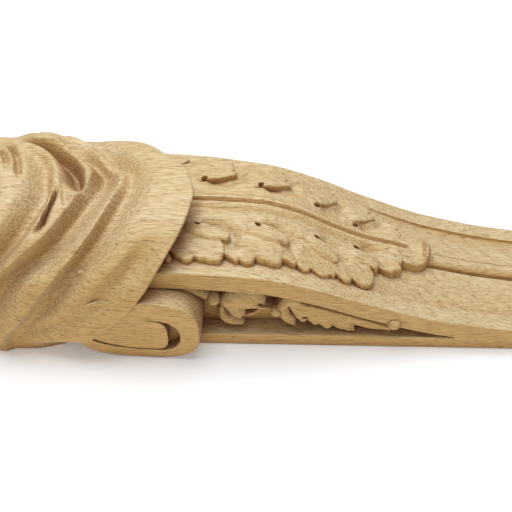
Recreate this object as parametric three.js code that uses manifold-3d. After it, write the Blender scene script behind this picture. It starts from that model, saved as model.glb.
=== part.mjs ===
// Corbel bracket carved from one block of oak: a moulded console with an acanthus leaf,
// a volute under it, a garland in each side recess, and cloth draped round its head.
// Millimetres. The wall face is the plane Y = 0, the front looks towards -Y, and Z points up
// to the head, which carries the load. The origin is the middle of the wall face.

import * as THREE from 'three';
import { mergeVertices } from 'three/addons/utils/BufferGeometryUtils.js';
import Module from 'manifold-3d';

// Overall sizes
const length = 600;
const headLevel = length / 2;
const tailLevel = -length / 2;

// The carving's own numbers below are drawn on a bracket of this length, and stretch with it
const drawnLength = 600;
const unit = length / drawnLength;

// Console: half widths, depths from the wall and thicknesses
const headHalfWidth = 75;
const tailHalfWidth = 60;
const headDepth = 96.5;
const tailDepth = 21;
const bandThickness = 20;
const plateThickness = 14;
const recessDepth = 18;
const recessTop = 120;
const consoleTop = 172;
const heartLow = 110;
const heartHigh = 232;
const heartHalfWidth = 70;
const heartDepth = 72;

// Mouldings on the front: flat borders, a hollow on each side and a bead in the middle
const borderWidth = 16;
const hollowDepth = 8;
const hollowStart = -25;
const hollowFull = -135;
const beadHalfWidth = 9;
const beadRise = 4;

// Volute under the console, next to the wall
const voluteProud = 16.5;
const voluteLow = 74;
const voluteHigh = 186;
const voluteDepth = 77;
const voluteSquareness = 3;
const eyeTip = 102;
const eyeLow = 14;
const eyeHigh = 54;
const eyeHollow = 11;
const eyeGroove = 1.6;
const eyeCutDepth = 10;

// Cloth round the head
const clothHalfWidth = 102;
const clothDepth = 138;
const clothSwell = 4;
const clothSwellFrom = 190;
const clothSwellTo = 228;
const clothSquareness = 2.8;
const clothTuck = 20;
const clothTuckDepth = 42;
const hemLow = 81;
const hemClimb = 122;
const hemNearPower = 2.4;
const hemFarPower = 0.8;
const hemWallClimb = 24;
const hemWallAngle = 8;
const hemUndercut = 3;

// Acanthus leaf on the front
const leafEdgeRise = 5.5;
const leafRootHeight = 12;
const leafNotch = 20;
const midribWidth = 3.2;
const midribDepth = 2.6;
const leafVeinDepth = 3;
const leafVeinSlant = 0.85;

// Garland in the side recess: where each piece of it sits along the length
const garlandFace = 1;
const garlandRoot = 2;
const ballRadius = 7;
const stemLevel = 77;
const firstBallLevel = 64.5;
const budLevel = 40;
const secondBallLevel = 10;
const calyxLevel = -3;
const sideLeafTop = -12;
const sideLeafTip = -90;
const lastBallLevel = -94;
const endBallProud = 4;
const sideLeafLow = 27;
const sideLobeReach = 7;

const wood = new THREE.MeshStandardMaterial({ color: '#d6bd90', roughness: 0.75, metalness: 0 });

const wasm = await Module();
wasm.setup();

function blend(from, to, value) {
  return THREE.MathUtils.smoothstep(value, Math.min(from, to), Math.max(from, to));
}

// A smooth curve through stations of place and value that never swings past them
function curveThrough(stations) {
  const slopes = stations.map(([place, value], i) => {
    if (i === 0 || i === stations.length - 1) return 0;
    const [before, valueBefore] = stations[i - 1];
    const [after, valueAfter] = stations[i + 1];
    const slopeIn = (value - valueBefore) / (place - before);
    const slopeOut = (valueAfter - value) / (after - place);
    if (slopeIn * slopeOut <= 0) return 0;
    return (2 * slopeIn * slopeOut) / (slopeIn + slopeOut);
  });
  return (place) => {
    const first = stations[0];
    const last = stations[stations.length - 1];
    if (place <= first[0]) return first[1];
    if (place >= last[0]) return last[1];
    const i = stations.findIndex(([next]) => next > place) - 1;
    const span = stations[i + 1][0] - stations[i][0];
    const t = (place - stations[i][0]) / span;
    const rise = stations[i + 1][1] - stations[i][1];
    const start = slopes[i] * span;
    const end = slopes[i + 1] * span;
    return stations[i][1] + t * (start + t * (3 * rise - 2 * start - end + t * (start + end - 2 * rise)));
  };
}

// A point of a rounded rectangle with a chosen squareness, on half sizes a and b
function roundedPoint(angle, a, b, squareness) {
  const c = Math.cos(angle);
  const s = Math.sin(angle);
  return [
    a * Math.sign(c) * Math.abs(c) ** (2 / squareness),
    b * Math.sign(s) * Math.abs(s) ** (2 / squareness),
  ];
}

function evenly(from, to, steps) {
  return Array.from({ length: steps + 1 }, (_, i) => from + ((to - from) * i) / steps);
}

function geometryFrom(points, triangles) {
  const geometry = new THREE.BufferGeometry();
  geometry.setAttribute('position', new THREE.Float32BufferAttribute(points.flat(), 3));
  geometry.setIndex(triangles.flat());
  return geometry;
}

// A solid between closed rings that all have the same number of points
function loft(rings) {
  const count = rings[0].length;
  const triangles = [];
  for (let r = 0; r + 1 < rings.length; r += 1) {
    for (let i = 0; i < count; i += 1) {
      const j = (i + 1) % count;
      const low = r * count;
      const high = low + count;
      triangles.push([low + i, low + j, high + j], [low + i, high + j, high + i]);
    }
  }
  const flat = (ring) => ring.map(([x, y]) => new THREE.Vector2(x, y));
  const top = (rings.length - 1) * count;
  for (const [a, b, c] of THREE.ShapeUtils.triangulateShape(flat(rings[0]), [])) triangles.push([a, c, b]);
  for (const [a, b, c] of THREE.ShapeUtils.triangulateShape(flat(rings[rings.length - 1]), [])) {
    triangles.push([top + a, top + b, top + c]);
  }
  return solid(geometryFrom(rings.flat(), triangles));
}

function solid(geometry) {
  let shape = geometry.clone();
  shape.deleteAttribute('normal');
  shape.deleteAttribute('uv');
  shape = mergeVertices(shape, 1e-4);
  const mesh = new wasm.Mesh({
    numProp: 3,
    vertProperties: new Float32Array(shape.attributes.position.array),
    triVerts: new Uint32Array(shape.index.array),
  });
  return new wasm.Manifold(mesh);
}

// A closed outline of height Z and depth from the wall, extruded along X between two planes
function acrossWidth(outline, from, to) {
  const shape = new THREE.Shape(outline.map(([z, depth]) => new THREE.Vector2(depth, z)));
  const geometry = new THREE.ExtrudeGeometry(shape, { depth: to - from, bevelEnabled: false, steps: 1 });
  const place = new THREE.Matrix4().makeBasis(
    new THREE.Vector3(0, -1, 0),
    new THREE.Vector3(0, 0, 1),
    new THREE.Vector3(-1, 0, 0),
  );
  place.setPosition(to, 0, 0);
  geometry.applyMatrix4(place);
  return solid(geometry);
}

function joined(parts) {
  return parts.reduce((sum, part) => sum.add(part));
}

// Console

const halfWidth = (z) => THREE.MathUtils.mapLinear(z, tailLevel, headLevel / 3, tailHalfWidth, headHalfWidth);

// The front rises from the tail to the head in an S, given as shares of the length and of the rise
const frontRise = curveThrough([
  [0, 0], [0.17, 0.08], [0.28, 0.23], [0.383, 0.5], [0.467, 0.765], [0.545, 0.93], [0.67, 1], [1, 1],
]);

function frontDepth(z) {
  return tailDepth + (headDepth - tailDepth) * frontRise((z - tailLevel) / length);
}

function mouldedDepth(x, z) {
  const side = Math.abs(x);
  const inner = halfWidth(z) - borderWidth;
  const reach = 1 - blend(hollowFull, hollowStart, z);
  if (side >= inner) return frontDepth(z);
  if (side <= beadHalfWidth) {
    return frontDepth(z) + reach * beadRise * Math.sqrt(1 - (side / beadHalfWidth) ** 2);
  }
  const across = (side - beadHalfWidth) / (inner - beadHalfWidth);
  return frontDepth(z) - reach * hollowDepth * Math.sqrt(1 - (2 * across - 1) ** 2);
}

function frontStations(z) {
  const inner = halfWidth(z) - borderWidth;
  const hollow = [0, 0.06, 0.25, 0.5, 0.75, 0.94, 1].map((t) => beadHalfWidth + (inner - beadHalfWidth) * t);
  const bead = [0, 0.5, 0.85].map((t) => beadHalfWidth * t);
  const right = [...bead, ...hollow, halfWidth(z)];
  return [...right.slice(1).reverse().map((x) => -x), ...right];
}

function consoleRing(z) {
  const front = frontStations(z).map((x) => [x, -mouldedDepth(x, z), z]);
  return [...front, [halfWidth(z), 0, z], [-halfWidth(z), 0, z]];
}

function consoleBody() {
  return loft(evenly(tailLevel, consoleTop, 26).map(consoleRing));
}

// The recess lies between the plate on the wall and the underside of the band
function recess(side) {
  const underside = (z) => frontDepth(z) - bandThickness;
  const stations = evenly(tailLevel / 2, recessTop, 18).filter((z) => underside(z) > plateThickness + 1);
  const ring = (z) => {
    const floor = halfWidth(z) - recessDepth;
    const outside = halfWidth(z) + recessDepth;
    const corners = [
      [floor, -underside(z), z], [outside, -underside(z), z],
      [outside, -plateThickness, z], [floor, -plateThickness, z],
    ];
    const mirrored = corners.map(([x, y, height]) => [-x, y, height]).reverse();
    return side > 0 ? corners : mirrored;
  };
  return loft(stations.map(ring));
}

// Volute

const voluteMiddle = (voluteLow + voluteHigh) / 2;
const voluteHalfWidth = halfWidth(voluteMiddle) + voluteProud;

function voluteOutline() {
  const points = evenly(0, 2 * Math.PI, 40).slice(1);
  return points.map((angle) => {
    const halfLength = (voluteHigh - voluteLow) / 2;
    const [along, depth] = roundedPoint(angle, halfLength, voluteDepth / 2, voluteSquareness);
    return [voluteMiddle + along, voluteDepth / 2 + depth];
  });
}

// A tongue with a rounded lower end, from its tip up to under the cloth
function tongue(tip, low, high, squareness) {
  const middle = (low + high) / 2;
  const half = (high - low) / 2;
  const end = evenly(Math.PI / 2, (3 * Math.PI) / 2, 14).map((angle) => {
    const [along, depth] = roundedPoint(angle, half, half, squareness);
    return [tip + half + along, middle + depth];
  });
  return [...end, [voluteHigh - eyeHollow, low], [voluteHigh - eyeHollow, high]];
}

// The block's heart, hidden under the cloth, which the cloth, console and volute grow out of
function heart() {
  const outline = [[heartLow, 0], [heartHigh, 0], [heartHigh, heartDepth], [heartLow, heartDepth]];
  return acrossWidth(outline, -heartHalfWidth, heartHalfWidth);
}

function volute() {
  const roll = acrossWidth(voluteOutline(), -voluteHalfWidth, voluteHalfWidth);
  const outer = tongue(eyeTip - eyeHollow, eyeLow - eyeGroove, eyeHigh + eyeGroove, 2.2);
  const eye = tongue(eyeTip, eyeLow, eyeHigh, 4);
  const cuts = [-1, 1].map((side) => {
    const from = side > 0 ? voluteHalfWidth - eyeCutDepth : -voluteHalfWidth - eyeCutDepth;
    const to = from + 2 * eyeCutDepth;
    return acrossWidth(outer, from, to).subtract(acrossWidth(eye, from - 1, to + 1));
  });
  return roll.subtract(cuts[0]).subtract(cuts[1]);
}

// Cloth

// The angle runs round the section: 0 at the wall on the -X side, 90 at the front, 180 at the wall again
function hemLevel(angle) {
  const away = Math.abs(angle - 85) / 90;
  const atWall = Math.max(0, 1 - angle / hemWallAngle);
  return hemLow + hemClimb * away ** (angle < 85 ? hemNearPower : hemFarPower) + hemWallClimb * atWall ** 2;
}

// Each valley runs round the cloth from its lowest place, at its middle angle, where it turns as softly
// as soft says, and climbs by so much on the near and the far side. Its steep bank lies towards the
// head and its gentle one towards the tail.
const valleys = [
  { low: 168, middle: 93, climb: [125, 267], power: 1.15, soft: 0.1, from: 0, to: 128, depth: 12, banks: [8, 14] },
  { low: 140, middle: 90, climb: [88, 88], power: 1, soft: 0.1, from: 2, to: 92, depth: 8, banks: [7, 13] },
  { low: 91, middle: 90, climb: [155, 155], power: 1, soft: 0.1, from: 6, to: 72, depth: 3, banks: [7, 12] },
  { low: 213, middle: 85, climb: [60, 60], power: 1.5, soft: 0.01, from: 24, to: 100, depth: 9, banks: [9, 15] },
  { low: 184, middle: 84, climb: [60, 660], power: 2, soft: 0.01, from: 80, to: 114, depth: 12, banks: [8, 6] },
  { low: 130, middle: 88, climb: [0, 125], power: 1.3, soft: 0.01, from: 118, to: 172, depth: 6, banks: [7, 12] },
  { low: 190, middle: 88, climb: [0, 90], power: 1.4, soft: 0.01, from: 116, to: 172, depth: 8, banks: [8, 13] },
  { low: 196, middle: 80, climb: [110, 110], power: 1.7, soft: 0.01, from: 52, to: 88, depth: 6, banks: [3, 4] },
];

function foldDepth(angle, z) {
  let sum = 0;
  for (const { low, middle, climb, power, soft, from, to, depth, banks } of valleys) {
    const offset = Math.abs(angle - middle) / 90;
    const away = Math.hypot(offset, soft) - soft;
    const rise = angle < middle ? climb[0] : climb[1];
    const centre = unit * (low + rise * away ** power);
    const turning = (power * away ** (power - 1) * offset) / Math.hypot(offset, soft);
    const slope = (unit * rise * turning) / (Math.PI * clothHalfWidth / 2);
    const distance = (z - centre) / Math.hypot(1, slope);
    const width = unit * (distance > 0 ? banks[0] : banks[1]);
    const ends = blend(from, from + 14, angle) * (1 - blend(to - 12, to, angle));
    sum += unit * depth * ends * Math.exp(-((distance / width) ** 2));
  }
  return sum;
}

function clothPoint(angle, z) {
  const swell = clothSwell * blend(clothSwellFrom, clothSwellTo, z);
  const push = foldDepth(angle, z);
  const [x, depth] = roundedPoint(
    THREE.MathUtils.degToRad(angle),
    clothHalfWidth - push,
    clothDepth + swell - push,
    clothSquareness,
  );
  const tuck = clothTuck * (1 - blend(0, clothTuckDepth, depth));
  return [-(x - Math.sign(x) * tuck), -depth, z];
}

function cloth() {
  const angles = evenly(0, 180, 52);
  const shares = evenly(0, 1, 32);
  const columns = angles.map((angle) => {
    const outer = shares.map((share) => clothPoint(angle, THREE.MathUtils.lerp(hemLevel(angle), headLevel, share)));
    const [x, y, z] = outer[0];
    const inside = [x * 0.7, y * 0.66, z + hemUndercut];
    const core = [x * 0.4, y * 0.4, (heartLow + heartHigh) / 2];
    return [core, inside, ...outer];
  });
  const count = columns[0].length;
  const triangles = [];
  for (let c = 0; c < columns.length; c += 1) {
    const next = (c + 1) % columns.length;
    for (let r = 0; r + 1 < count; r += 1) {
      const a = c * count + r;
      const b = next * count + r;
      // Each pair of triangles meets along the way that the folds climb there
      if (angles[c] < 90) triangles.push([a, b, a + 1], [b, b + 1, a + 1]);
      else triangles.push([a, b, b + 1], [a, b + 1, a + 1]);
    }
  }
  const flat = (row) => columns.map((column) => new THREE.Vector2(column[row][0], column[row][1]));
  for (const [a, b, c] of THREE.ShapeUtils.triangulateShape(flat(count - 1), [])) {
    triangles.push([a, b, c].map((i) => i * count + count - 1));
  }
  for (const [a, b, c] of THREE.ShapeUtils.triangulateShape(flat(0), [])) {
    triangles.push([a, c, b].map((i) => i * count));
  }
  return solid(geometryFrom(columns.flat(), triangles));
}

// Leaf

const leafTop = 125;
const leafTip = -129;

// Lobes of one edge from the cloth down to the tip: where each ends, and how deep the notch after it is
const lobes = [
  { end: 93, notch: 6 }, { end: 75, notch: 7 }, { end: 52, notch: 24 },
  { end: 38, notch: 6 }, { end: 26, notch: 9 }, { end: 2, notch: 20 },
  { end: -41, notch: 13 }, { end: -55, notch: 10 }, { end: -79, notch: 18 },
  { end: -102, notch: 12 }, { end: -129, notch: 4 },
].map(({ end, notch }) => ({ end: unit * end, notch: unit * notch }));

const leafReach = curveThrough([
  [-129, 8], [-123, 13], [-112, 18], [-92, 31], [-68, 50], [-30, 52], [10, 60], [60, 64], [125, 66],
].map(([z, reach]) => [unit * z, unit * reach]));

const leafCrown = curveThrough([
  [-129, 9], [-104, 14], [-64, 10], [-35, 12], [0, 16], [60, 16], [125, 12],
].map(([z, rise]) => [unit * z, unit * rise]));

function leafEdge(z) {
  let start = unit * leafTop;
  let notchBefore = 0;
  for (const { end, notch } of lobes) {
    if (z >= end) {
      const t = (start - z) / (start - end);
      const notchHere = THREE.MathUtils.lerp(notchBefore, notch, t);
      const scallop = 1 - Math.sqrt(Math.sin(Math.PI * Math.min(1, Math.max(0, t))));
      return leafReach(z) - notchHere * scallop;
    }
    start = end;
    notchBefore = notch;
  }
  return leafReach(lobes[lobes.length - 1].end);
}

// How deep a place of the edge lies in a notch, from 0 on a lobe to 1 in the notch
function notchShare(z) {
  return (leafReach(z) - leafEdge(z)) / leafNotch;
}

function leafRise(share, z) {
  const x = share * leafEdge(z);
  const groove = midribDepth * Math.exp(-((x / midribWidth) ** 2));
  const slope = THREE.MathUtils.lerp(leafCrown(z), leafEdgeRise, share ** 1.3);
  const vein = leafVeinDepth * Math.min(1, notchShare(z)) * blend(0.1, 0.6, share);
  return slope - groove - vein;
}

// The veins sweep towards the tail on their way out to the edge, so a row of the leaf does too
function leafPoint(share, station) {
  const sweep = leafVeinSlant * blend(unit * leafTip, unit * leafTip / 2, station) * leafReach(station);
  const z = station + sweep * (1 - share) ** 1.2;
  return [share * leafEdge(station), -(frontDepth(z) + leafRise(share, station)), z];
}

function leaf() {
  const across = [0, 0.07, 0.3, 0.6, 0.85, 1];
  const ring = (station) => {
    const right = across.map((share) => leafPoint(share, station));
    const left = right.slice(1).reverse().map(([x, y, z]) => [-x, y, z]);
    const [edge, , low] = right[right.length - 1];
    const root = -(frontDepth(low) - leafRootHeight);
    return [...left, ...right, [edge, root, low], [-edge, root, low]];
  };
  return loft(evenly(unit * leafTip, unit * leafTop, 66).map(ring));
}

// Garland, one on each side: it stands on the floor of the recess and comes out to the console's side

// A rounded form that reaches from just inside the console's side into the recess's floor
function blob(side, z, depth, face, [deep, high], tilt) {
  const across = (recessDepth + garlandRoot - face) / 2;
  const geometry = new THREE.SphereGeometry(1, 10, 6);
  geometry.scale(across, deep, high);
  geometry.rotateX(tilt);
  geometry.translate(side * (halfWidth(z) - face - across), -depth, z);
  return solid(geometry);
}

function ball(side, z, depth, face) {
  return blob(side, z, depth, face, [ballRadius, ballRadius], 0);
}

// The ball at the garland's end stands out from the console's side
function endBall(side, z, depth, proud) {
  const geometry = new THREE.SphereGeometry(ballRadius, 10, 7);
  geometry.translate(side * (halfWidth(z) + proud - ballRadius), -depth, z);
  return solid(geometry);
}

// The leaf hangs from the underside of the band, and its free edge is cut in lobes
function sideLeaf(side) {
  const lobeCount = 5;
  const lower = [];
  for (let lobe = 0; lobe < lobeCount; lobe += 1) {
    for (const t of [0, 0.12, 0.35, 0.65, 0.9]) {
      const along = (lobe + t) / lobeCount;
      const bulge = Math.sqrt(Math.sin(Math.PI * t));
      const z = THREE.MathUtils.lerp(sideLeafTop, sideLeafTip, along ** 1.25);
      lower.push([z, sideLeafLow - sideLobeReach * bulge - unit * 5 * along]);
    }
  }
  const upper = evenly(sideLeafTip, sideLeafTop, 6).map((z) => [z, frontDepth(z) - bandThickness + 2]);
  const middle = halfWidth((sideLeafTop + sideLeafTip) / 2);
  const floor = middle - recessDepth - 2;
  const face = middle - 3;
  const outline = [...lower, ...upper];
  return side > 0 ? acrossWidth(outline, floor, face) : acrossWidth(outline, -face, -floor);
}

function garland(side) {
  const form = (z, depth, face, size, tilt) => {
    return blob(side, z, unit * depth, face, size.map((half) => unit * half), tilt);
  };
  return joined([
    form(stemLevel, 64, 2 * garlandFace, [6, 13], 0.6),
    ball(side, firstBallLevel, unit * 54, garlandFace),
    form(budLevel, 48, garlandFace, [15, 21], -0.2),
    form(budLevel + unit * 6, 31, garlandFace, [11, 15], 0.25),
    ball(side, secondBallLevel, unit * 41, garlandFace),
    form(calyxLevel, 51, garlandFace, [10, 8], 0.5),
    form(calyxLevel, 32, garlandFace, [11, 6.5], -0.4),
    sideLeaf(side),
    endBall(side, lastBallLevel, unit * 32, endBallProud),
  ]);
}

function carvedCorbel() {
  const body = consoleBody().subtract(recess(1)).subtract(recess(-1));
  const whole = joined([body, heart(), volute(), leaf(), garland(1), garland(-1), cloth()]);
  const { vertProperties, triVerts } = whole.getMesh();
  const geometry = new THREE.BufferGeometry();
  geometry.setAttribute('position', new THREE.BufferAttribute(new Float32Array(vertProperties), 3));
  geometry.setIndex(new THREE.BufferAttribute(new Uint32Array(triVerts), 1));
  geometry.computeVertexNormals();
  return geometry;
}

const corbel = new THREE.Group();
const block = new THREE.Mesh(carvedCorbel(), wood);
block.name = 'carved_corbel';
corbel.add(block);

export default corbel;
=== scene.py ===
# %% [markdown]
# A carved oak corbel bracket. One block of oak is carved into a moulded console with an acanthus
# leaf on its front, a volute under its head, a garland in each side and cloth draped round the head.
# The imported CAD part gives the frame: the wall face is the plane Y = 0, the front looks towards -Y
# and Z points up to the head. Sizes below are in millimetres, and `MM` turns them to metres.

import math
from functools import partial

import bpy
import numpy as np
from mathutils import Matrix, Vector


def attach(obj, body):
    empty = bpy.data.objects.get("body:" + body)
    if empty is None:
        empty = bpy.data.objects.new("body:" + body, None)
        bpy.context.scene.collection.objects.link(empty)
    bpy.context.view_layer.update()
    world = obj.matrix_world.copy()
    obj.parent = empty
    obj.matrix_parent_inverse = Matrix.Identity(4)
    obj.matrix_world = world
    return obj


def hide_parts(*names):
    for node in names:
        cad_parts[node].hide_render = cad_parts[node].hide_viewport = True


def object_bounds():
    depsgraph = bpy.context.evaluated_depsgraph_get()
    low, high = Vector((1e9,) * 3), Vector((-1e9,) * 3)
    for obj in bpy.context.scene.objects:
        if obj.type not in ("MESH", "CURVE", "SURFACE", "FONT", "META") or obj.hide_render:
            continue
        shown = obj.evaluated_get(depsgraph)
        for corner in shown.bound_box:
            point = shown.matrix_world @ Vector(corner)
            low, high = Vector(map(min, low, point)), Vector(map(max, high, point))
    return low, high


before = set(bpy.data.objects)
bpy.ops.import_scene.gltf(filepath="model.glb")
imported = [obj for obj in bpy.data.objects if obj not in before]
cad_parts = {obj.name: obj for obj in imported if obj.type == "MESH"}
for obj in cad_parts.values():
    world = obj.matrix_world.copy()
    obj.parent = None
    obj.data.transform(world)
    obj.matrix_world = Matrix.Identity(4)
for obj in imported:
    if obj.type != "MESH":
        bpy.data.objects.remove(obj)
bpy.ops.object.select_all(action="DESELECT")
cad_low, cad_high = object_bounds()
MM = 0.001
NODE = "carved_corbel"
HEAD = cad_high.z / MM
TAIL = cad_low.z / MM
LENGTH = HEAD - TAIL
print("CAD box, mm:", [round(side / MM, 1) for side in cad_high - cad_low])

# %% [markdown]
# The carving is all curved surfaces whose shape is known as a rule: so deep at such a height, so wide
# at such a place. A carver follows templates in the same way. So each surface starts as a grid from
# the Add menu, and a function moves its points to where the rule says. These are the small tools for
# that: smooth steps and curves, and reading and writing a mesh's points all at once.


# %% Smooth steps and curves
def blend(start, end, value):
    """0 before start, 1 after end, and a smooth step between them."""
    t = np.clip((value - start) / (end - start), 0.0, 1.0)
    return t * t * (3.0 - 2.0 * t)


def lerp(a, b, t):
    return a + (b - a) * t


def hump(value, middle, width):
    """1 at the middle, about a third of that a width away, and nothing far from it."""
    return np.exp(-((value - middle) / width) ** 2)


def curve_through(*stations):
    """A smooth curve through stations of place and value that never swings past them."""
    places, values = (np.array(side, float) for side in zip(*stations))
    rises = np.diff(values) / np.diff(places)
    slopes = np.zeros(len(places))
    for i in range(1, len(places) - 1):
        before, after = rises[i - 1], rises[i]
        if before * after > 0:
            slopes[i] = 2 * before * after / (before + after)

    def curve(place):
        place = np.clip(place, places[0], places[-1])
        i = np.clip(np.searchsorted(places, place, side="right") - 1, 0, len(places) - 2)
        span = places[i + 1] - places[i]
        t = (place - places[i]) / span
        rise = values[i + 1] - values[i]
        start = slopes[i] * span
        end = slopes[i + 1] * span
        return values[i] + t * (start + t * (3 * rise - 2 * start - end + t * (start + end - 2 * rise)))

    return curve


# %% Grids whose points a function places
SAME_POINT = 0.01
SAME_LEVEL = 0.05
SMOOTH_ANGLE = 38


def grid(name, columns, rows):
    """A new flat grid, and how far each of its points lies along the columns and the rows, 0 to 1."""
    bpy.ops.object.select_all(action="DESELECT")
    bpy.ops.mesh.primitive_grid_add(x_subdivisions=columns, y_subdivisions=rows, size=1)
    piece = bpy.context.active_object
    piece.name = name
    piece.data.name = name
    points = read_points(piece)
    return piece, points[:, 0] + 0.5, points[:, 1] + 0.5


def read_points(piece):
    points = np.empty(len(piece.data.vertices) * 3)
    piece.data.vertices.foreach_get("co", points)
    return points.reshape(-1, 3)


def write_points(piece, x, depth, z):
    """Places every point by its x, its depth in front of the wall and its height, in millimetres."""
    points = np.column_stack([x, -depth, z]) * MM
    piece.data.vertices.foreach_set("co", points.ravel())
    piece.data.update()


def select_open_edges(piece, z=None):
    """Selects the edges that bound a hole, or only those of them at one height."""
    bpy.ops.object.mode_set(mode="EDIT")
    bpy.ops.mesh.select_mode(type="EDGE")
    bpy.ops.mesh.select_all(action="DESELECT")
    bpy.ops.mesh.select_non_manifold(extend=False, use_wire=True, use_multi_face=False,
                                     use_non_contiguous=False, use_verts=False)
    if z is None:
        return
    bpy.ops.object.mode_set(mode="OBJECT")
    level = np.abs(read_points(piece)[:, 2] - z * MM) < SAME_LEVEL * MM
    ends = np.empty(len(piece.data.edges) * 2, int)
    piece.data.edges.foreach_get("vertices", ends)
    chosen = np.empty(len(piece.data.edges), bool)
    piece.data.edges.foreach_get("select", chosen)
    chosen &= level[ends.reshape(-1, 2)].all(1)
    piece.data.vertices.foreach_set("select", np.zeros(len(piece.data.vertices), bool))
    piece.data.edges.foreach_set("select", chosen)
    bpy.ops.object.mode_set(mode="EDIT")


def close_up(piece, ends=()):
    """Welds the seam, fills the ends at the given heights and what is still open, and turns faces out."""
    bpy.context.view_layer.objects.active = piece
    bpy.ops.object.mode_set(mode="EDIT")
    bpy.ops.mesh.select_all(action="SELECT")
    bpy.ops.mesh.remove_doubles(threshold=SAME_POINT * MM)
    for z in ends:
        select_open_edges(piece, z)
        bpy.ops.mesh.edge_face_add()
    select_open_edges(piece)
    bpy.ops.mesh.edge_face_add()
    bpy.ops.mesh.select_all(action="SELECT")
    bpy.ops.mesh.normals_make_consistent(inside=False)
    bpy.ops.object.mode_set(mode="OBJECT")


def finish_mesh(piece):
    """Smooth shading that leaves the cut arrises crisp."""
    bpy.ops.object.select_all(action="DESELECT")
    piece.select_set(True)
    bpy.context.view_layer.objects.active = piece
    bpy.ops.object.shade_smooth_by_angle(angle=math.radians(SMOOTH_ANGLE))
    print(piece.name, "has", sum(len(face.vertices) - 2 for face in piece.data.polygons), "triangles")


def cut(piece, cutter):
    """Takes the cutter's shape out of the piece, and the cutter away."""
    modifier = piece.modifiers.new("cut", "BOOLEAN")
    modifier.operation = "DIFFERENCE"
    modifier.solver = "EXACT"
    modifier.object = cutter
    bpy.context.view_layer.objects.active = piece
    bpy.ops.object.modifier_apply(modifier=modifier.name)
    bpy.data.objects.remove(cutter)


def joined(name, parts):
    """The parts as one mesh."""
    bpy.ops.object.select_all(action="DESELECT")
    for part in parts:
        part.select_set(True)
    bpy.context.view_layer.objects.active = parts[0]
    bpy.ops.object.join()
    piece = bpy.context.active_object
    piece.name = name
    piece.data.name = name
    return piece


def mirrored_copy(piece, name):
    """A copy of the piece for the +X side, with its own mesh."""
    bpy.ops.object.select_all(action="DESELECT")
    piece.select_set(True)
    bpy.context.view_layer.objects.active = piece
    bpy.ops.object.duplicate()
    copy = bpy.context.active_object
    copy.name = name
    copy.data.name = name
    bpy.ops.object.mode_set(mode="EDIT")
    bpy.ops.mesh.select_all(action="SELECT")
    bpy.ops.transform.resize(value=(-1, 1, 1), center_override=(0, 0, 0))
    bpy.ops.mesh.flip_normals()
    bpy.ops.object.mode_set(mode="OBJECT")
    return copy


# %% [markdown]
# The console is the bracket's body: thin at the tail, deep at the head, with an S between them. Its
# front has a flat border along each side, a crowned field sunk between them and a bead down the middle,
# and the mouldings fade out under the leaf. One section, drawn from the wall round to the wall, is swept
# up the length. The arrises are rounded a little, as sanding leaves them.

# %% Console sizes
HEAD_HALF_WIDTH = 75
HEAD_WIDTH_LEVEL = HEAD / 3
TAIL_HALF_WIDTH = 60
HEAD_DEPTH = 96.5
TAIL_DEPTH = 21
BAND = 20
PLATE = 14
RECESS = 18
RECESS_TOP = 120
RECESS_LOW = -150.5
RECESS_LEAST = 0.3
CONSOLE_TOP = 172
BORDER = 16
FIELD_SUNK = 5.5
FIELD_CROWN = 10.5
FIELD_START = -25
FIELD_FULL = -135
FIELD_BANK = 0.14
BEAD_HALF_WIDTH = 7
BEAD_RISE = 5.5
QUIRK = 2.4
QUIRK_DEPTH = 1.8
ARRIS = 1.0

# The S of the front: shares of the length from the tail, and of the rise from tail to head.
front_rise = curve_through(
    (0, 0), (0.17, 0.08), (0.28, 0.23), (0.383, 0.5), (0.467, 0.765), (0.545, 0.93), (0.67, 1), (1, 1)
)


def half_width(z):
    """The console widens evenly from its tail, and has the head's width at one level."""
    return lerp(TAIL_HALF_WIDTH, HEAD_HALF_WIDTH, (z - TAIL) / (HEAD_WIDTH_LEVEL - TAIL))


def front_depth(z):
    """Depth of the front's borders from the wall."""
    return lerp(TAIL_DEPTH, HEAD_DEPTH, front_rise((z - TAIL) / LENGTH))


def field_reach(z):
    """How much of the mouldings there is at a height: none under the leaf, and all of them at the tail."""
    return 1 - blend(FIELD_FULL, FIELD_START, z)


def field_depth(side, z):
    """Depth of the front's crowned field from the wall."""
    inner = half_width(z) - BORDER
    return front_depth(z) + field_reach(z) * FIELD_CROWN * np.clip(1 - (side / inner) ** 2, 0, 1)


def moulded_depth(x, z):
    """Depth of the front from the wall, with its borders, sunk field and bead."""
    side = np.abs(x)
    inner = half_width(z) - BORDER
    bead = BEAD_RISE * np.sqrt(np.clip(1 - (side / BEAD_HALF_WIDTH) ** 2, 0, 1))
    start = BEAD_HALF_WIDTH + QUIRK
    across = (side - start) / (inner - start)
    bank = np.clip((across - 1 + FIELD_BANK) / FIELD_BANK, 0, 1)
    sunk = FIELD_SUNK * np.sqrt(1 - bank ** 2)
    in_quirk = np.clip(1 - np.abs(side - BEAD_HALF_WIDTH - QUIRK / 2) * 2 / QUIRK, 0, 1)
    return field_depth(side, z) + field_reach(z) * (bead - sunk - QUIRK_DEPTH * np.sqrt(in_quirk))


# %% Console body
# The section's stretches and their steps. A number is the stop that a stretch across the front
# starts from: arris, border, quirk and bead, and the same again backwards on the far side.
SECTION = [
    ("up", 26), ("near arris", 4), (0, 10), (1, 34), (2, 6), (3, 20), (4, 6), (5, 34), (6, 10),
    ("far arris", 4), ("down", 26),
]
SECTION_STEPS = sum(steps for kind, steps in SECTION)
CONSOLE_ROWS = 236


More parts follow.
